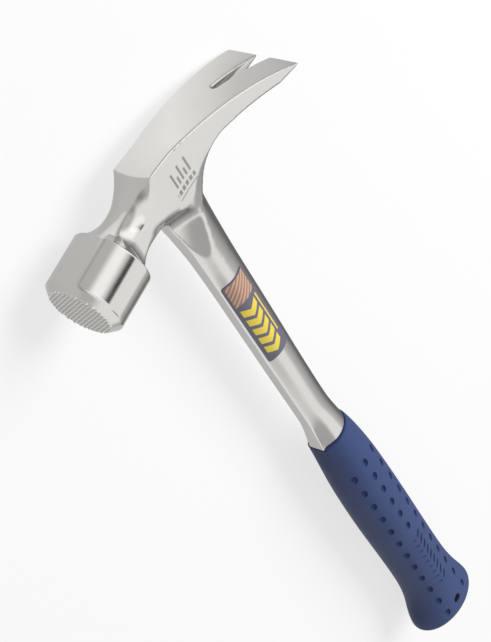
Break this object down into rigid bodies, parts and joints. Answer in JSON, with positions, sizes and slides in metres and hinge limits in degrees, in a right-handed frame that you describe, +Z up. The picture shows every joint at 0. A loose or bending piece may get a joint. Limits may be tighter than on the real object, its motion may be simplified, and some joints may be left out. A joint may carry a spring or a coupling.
{
  "type": "framing hammer",
  "caption": "Framing hammer forged in one steel piece from milled striking face to tang, with a slotted rip claw, a moulded vinyl grip with a hang hole and a label on the shank.",
  "frame": {"origin": "on the surface that the hammer lies on, under the middle of its bounding box", "axes": "+X along the handle from the butt to the head, +Y out of the striking face, +Z up through the cheek"},
  "size_m": [0.4106, 0.1342, 0.0338],
  "materials": {
    "steel": "polished forged steel",
    "grip": "satin moulded vinyl",
    "label": "printed film"
  },
  "bodies": {
    "root": {"forged_body": "steel", "grip": "grip", "label": "label"}
  },
  "joints": []
}
